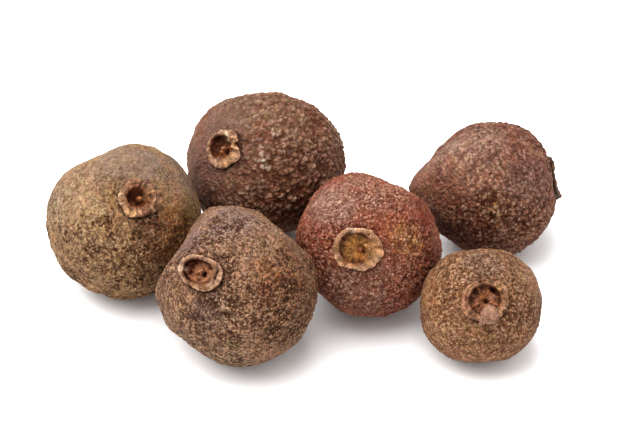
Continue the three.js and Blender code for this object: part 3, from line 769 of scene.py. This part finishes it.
def calyx_material(name):
    """Dried calyx: fibrous and matt like thick paper. The colour comes in zones, stains and painted
    shade, with fine mottling and short fibres over it, and painted shade in the gaps between crumbs."""
    material, tree = fresh_material("dried calyx " + name.replace("_", " "))
    place = add(tree, "TexCoord")["Object"]
    stain = add(tree, "Attribute", {"attribute_name": "stain"})["Color"]
    fibre = add(tree, "Attribute", {"attribute_name": "fibre"})["Fac"]
    mottle = add(tree, "TexNoise", Vector=place, Scale=1 / (PAPER_PATCH * MM), Detail=4.0,
                 Roughness=0.7)[0]
    grain = add(tree, "TexNoise", Vector=place, Scale=1 / (PAPER_GRAIN * MM), Detail=2.0,
                Roughness=0.7)[0]
    crumb = add(tree, "TexNoise", Vector=place, Scale=1 / (CRUMB * MM), Detail=2.0)[0]
    tone = stain
    for value, low, high, least, most in (
            (mottle, 0.35, 0.65, 0.58, 1.3), (fibre, 0.0, 1.0, 0.6, 1.35),
            (grain, 0.38, 0.62, 0.68, 1.28)):
        shade = add(tree, "MapRange", Value=value, From_Min=low, From_Max=high, To_Min=least,
                    To_Max=most)[0]
        tone = add(tree, "Mix", TINT, in_0=1.0, in_6=tone, in_7=shade)[2]
    # Painted shade in the low places between the crumbs.
    gap = add(tree, "MapRange", EASED, Value=crumb, From_Min=0.4, From_Max=0.3, To_Max=0.5)[0]
    dark = add(tree, "Mix", TINT, in_0=1.0, in_6=tone, in_7=(0.22, 0.13, 0.08, 1))[2]
    tone = add(tree, "Mix", OVER, in_0=gap, in_6=tone, in_7=dark)[2]
    lift = add(tree, "Math", {"operation": "ADD"}, in_0=grain, in_1=crumb)[0]
    bump = add(tree, "Bump", Height=lift, Strength=1.0, Distance=0.04 * MM)[0]
    shader = add(tree, "BsdfPrincipled", Base_Color=tone, Roughness=0.65, Specular_IOR_Level=0.12,
                 Normal=bump)[0]
    add(tree, "OutputMaterial", Surface=shader)
    return material


def make_crown(name, seed):
    """The crown's grid: clock angle round its axis by distance along its profile."""
    body, crown = BODIES[name], CROWNS[name]
    clock = np.arange(CROWN_ROUND) * (2 * math.pi / CROWN_ROUND)
    profile = spline(crown_keys(body, crown, clock, seed), CROWN_ROWS)
    radius, height, held, zone = np.concatenate(
        [profile[1:-1].reshape(-1, 4), profile[:1, 0], profile[-1:, 0]]).T
    clock = np.append(np.tile(clock, CROWN_ROWS - 2), [0, 0])
    shift, way = crown["offset"]
    x = radius * np.cos(clock) + held * shift * math.cos(math.radians(way))
    y = radius * np.sin(clock) + held * shift * math.sin(math.radians(way))
    upper = 1 - smooth_step(zone, 2.3, 2.9)
    for where, spread, at, width, up in crown["arcs"]:
        line = np.exp(-(((radius - at) / width) ** 2))
        height = height + upper * up * bell(clock, where, spread) * line
    for at_x, at_y, width, up in crown["bumps"]:
        away = ((x - at_x) ** 2 + (y - at_y) ** 2) / width**2
        height = height + upper * up * np.exp(-away * away)
    local = np.stack([x, y, height], -1)

    # Wrinkles run out from the middle: noise that changes slowly with the radius.
    run = 2.2 * np.stack([np.cos(clock), np.sin(clock), 0.35 * radius], 1) + 5 * seed
    blur = np.clip(radius / 0.25, 0, 1)
    fibre = 0.5 + 0.5 * blur * (0.6 * clouds(run, 0.5, 51) + 0.4 * clouds(run, 0.22, 52))
    spots = local + 20 * (seed + 1)
    crumbs = 0.7 * clouds(spots, 0.22, 43) + 0.3 * clouds(spots, 0.11, 44)
    relief = crown["folded"] * (2 * fibre - 1) + 0.055 * crumbs

    zones = np.array([linear(crown[key]) for key in ("floor", "wall", "lip", "outer")])
    low = np.clip(np.floor(zone), 0, 2).astype(int)
    part = smooth_step(zone - low, 0, 1)[:, None]
    stain = zones[low] * (1 - part) + zones[low + 1] * part
    # The very edge of the lip is painted palest: partly wear and partly a painted highlight.
    edge_wear_and_highlight = np.exp(-(((zone - 2.3) / 0.14) ** 2)) * (0.6 + 0.4 * crumbs)
    stain = stain * (1 + crown["edge_wear_and_highlight"] * edge_wear_and_highlight)[:, None]
    edge = 0.3 * clouds(spots, 0.25, 45)
    for at_x, at_y, spread, colour, strength in crown["stains"]:
        share = np.exp(-((x - at_x) ** 2 + (y - at_y) ** 2) / spread**2)
        share = smooth_step(share + edge * np.sqrt(share), 0.15, 0.85)
        stain = dyed(stain, strength * upper * share, colour)
    # Painted shade where light can't reach: the height here against its mean over about 0.15 mm
    # around. The crumbs are painted darker where low and lighter where high, as painted shade too.
    inner = (height + relief)[:-2].reshape(CROWN_ROWS - 2, CROWN_ROUND)
    mean = inner
    for _ in range(SOFTENINGS):
        mean = np.pad(mean, ((1, 1), (0, 0)), "edge")
        mean = (mean[:-2] + 2 * mean[1:-1] + mean[2:]) / 4
        mean = (np.roll(mean, 1, 1) + 2 * mean + np.roll(mean, -1, 1)) / 4
    sunk = np.append(np.clip((mean - inner) / 0.1, -1, 1).ravel(), [0, 0]) * upper
    stain = stain * ((1 - 0.45 * sunk) * (1 + 0.25 * crumbs))[:, None]
    piece = closed_tube(name + "_crown", settle(local, body, seed, relief), CROWN_ROUND,
                        {"stain": stain, "fibre": fibre})
    piece.data.materials.append(calyx_material(name))
    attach(piece, "root")
    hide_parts(name)


for seed, name in enumerate(BODIES):
    make_crown(name, seed)

# ---------------------------------------------------------------------------------------------
# The folded sepal of the smallest berry: one of the calyx's four lobes has curled inwards and
# dried as a thick knob with a pointed corner, lying over the lower edge of the crown.
# ---------------------------------------------------------------------------------------------
# at, above: its middle in the crown's own frame and above the lip, in mm. half: half its sizes.
# corner: which way its point is drawn out, by what share, and the point's spread in degrees.
KNOB = {
    "at": (0.11, -0.68), "above": 0.06, "half": (0.44, 0.45, 0.32),
    "corner": (-0.74, -0.66, -0.1), "drawn_out": 0.65, "spread": 15,
    "colour": 0x826250, "patches": 0x745B42,
}
KNOB_ROUND, KNOB_ROWS = 120, 60


def make_knob(name, seed):
    """A flattened ball with noise, drawn out to a point: its radius is 1 + drawn out times
    exp(-(angle / spread)^2) by the angle to the corner's direction."""
    body, crown = BODIES[name], CROWNS[name]
    ball = globe(KNOB_ROWS, KNOB_ROUND)[2]
    corner = np.array(KNOB["corner"]) / np.linalg.norm(KNOB["corner"])
    away = np.arccos(np.clip(ball @ corner, -1, 1)) / math.radians(KNOB["spread"])
    spots = ball * np.array(KNOB["half"]) + 70
    bulk = 1 + KNOB["drawn_out"] * np.exp(-away * away)
    bulk = bulk + 0.07 * clouds(spots, 0.35, 61) + 0.03 * clouds(spots, 0.12, 62)
    lip = skin_height(body) + crown["rise"]
    local = ball * bulk[:, None] * np.array(KNOB["half"])
    local = local + np.array([*KNOB["at"], lip + KNOB["above"]])
    stain = np.array([linear(KNOB["colour"])] * len(ball))
    stain = dyed(stain, 0.7 * smooth_step(clouds(spots, 0.3, 63), 0.0, 0.6), KNOB["patches"])
    piece = closed_tube(name + "_folded_sepal", settle(local, body, seed), KNOB_ROUND,
                        {"stain": stain, "fibre": 0.5 + 0.4 * clouds(spots, 0.15, 64)})
    piece.data.materials.append(calyx_material(name + " folded sepal"))
    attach(piece, "root")
    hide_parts(name)


make_knob("berry_right_front", 5)

# ---------------------------------------------------------------------------------------------
# The studio: a white card under the berries, one large soft light above them on the left, and
# white surroundings.
# ---------------------------------------------------------------------------------------------
floor_mesh = bpy.data.meshes.new("studio_floor")
HALF_FLOOR, DROP = 0.6, 0.01 * MM
FLOOR_GREY, ROOM_STRENGTH = 0.93, 1.08
corners = [(-1, -1), (1, -1), (1, 1), (-1, 1)]
floor_mesh.from_pydata([(HALF_FLOOR * x, HALF_FLOOR * y, -DROP) for x, y in corners], [], [(0, 1, 2, 3)])
floor = bpy.data.objects.new("studio_floor", floor_mesh)
bpy.context.scene.collection.objects.link(floor)
paint = bpy.data.materials.new("white card")
paint.use_nodes = True
card = paint.node_tree.nodes["Principled BSDF"].inputs
card["Base Color"].default_value = (FLOOR_GREY, FLOOR_GREY, FLOOR_GREY, 1)
card["Roughness"].default_value = 0.9
floor_mesh.materials.append(paint)

world = bpy.data.worlds.new("white room")
bpy.context.scene.world = world
world.use_nodes = True
world.node_tree.nodes["Background"].inputs["Color"].default_value = (1, 1, 1, 1)
world.node_tree.nodes["Background"].inputs["Strength"].default_value = ROOM_STRENGTH

# Metres and watts; it is aimed at the middle of the group.
LIGHT_PLACE, LIGHT_SIZE, LIGHT_POWER = (-0.13, 0.0, 0.34), 0.45, 2.4
light = bpy.data.lights.new("softbox_left", "AREA")
light.size = LIGHT_SIZE
light.energy = LIGHT_POWER
lamp = bpy.data.objects.new("softbox_left", light)
lamp.location = LIGHT_PLACE
lamp.rotation_euler = (-lamp.location).to_track_quat("-Z", "Y").to_euler()
bpy.context.scene.collection.objects.link(lamp)

# The camera looks along +Y and down by 38 degrees with a long lens. Distances are in metres.
CAMERA_ELEVATION = math.radians(38)
CAMERA_DISTANCE = 0.3
FIELD_WIDTH = 29.76 * MM
SENSOR = 36
look_at = np.array([0.16, 4.9, 0]) * MM
back = np.array([0, -math.cos(CAMERA_ELEVATION), math.sin(CAMERA_ELEVATION)])
camera_data = bpy.data.cameras.new("camera")
camera_data.sensor_width = SENSOR
camera_data.sensor_fit = "HORIZONTAL"
camera_data.lens = SENSOR * CAMERA_DISTANCE / FIELD_WIDTH
camera_data.clip_start = 0.01
camera_data.clip_end = 10
camera = bpy.data.objects.new("camera", camera_data)
camera.location = look_at + back * CAMERA_DISTANCE
camera.rotation_euler = (math.pi / 2 - CAMERA_ELEVATION, 0, 0)
bpy.context.scene.collection.objects.link(camera)
bpy.context.scene.camera = camera
bpy.context.scene.view_settings.view_transform = "Standard"
bpy.context.scene.view_settings.look = "Medium High Contrast"
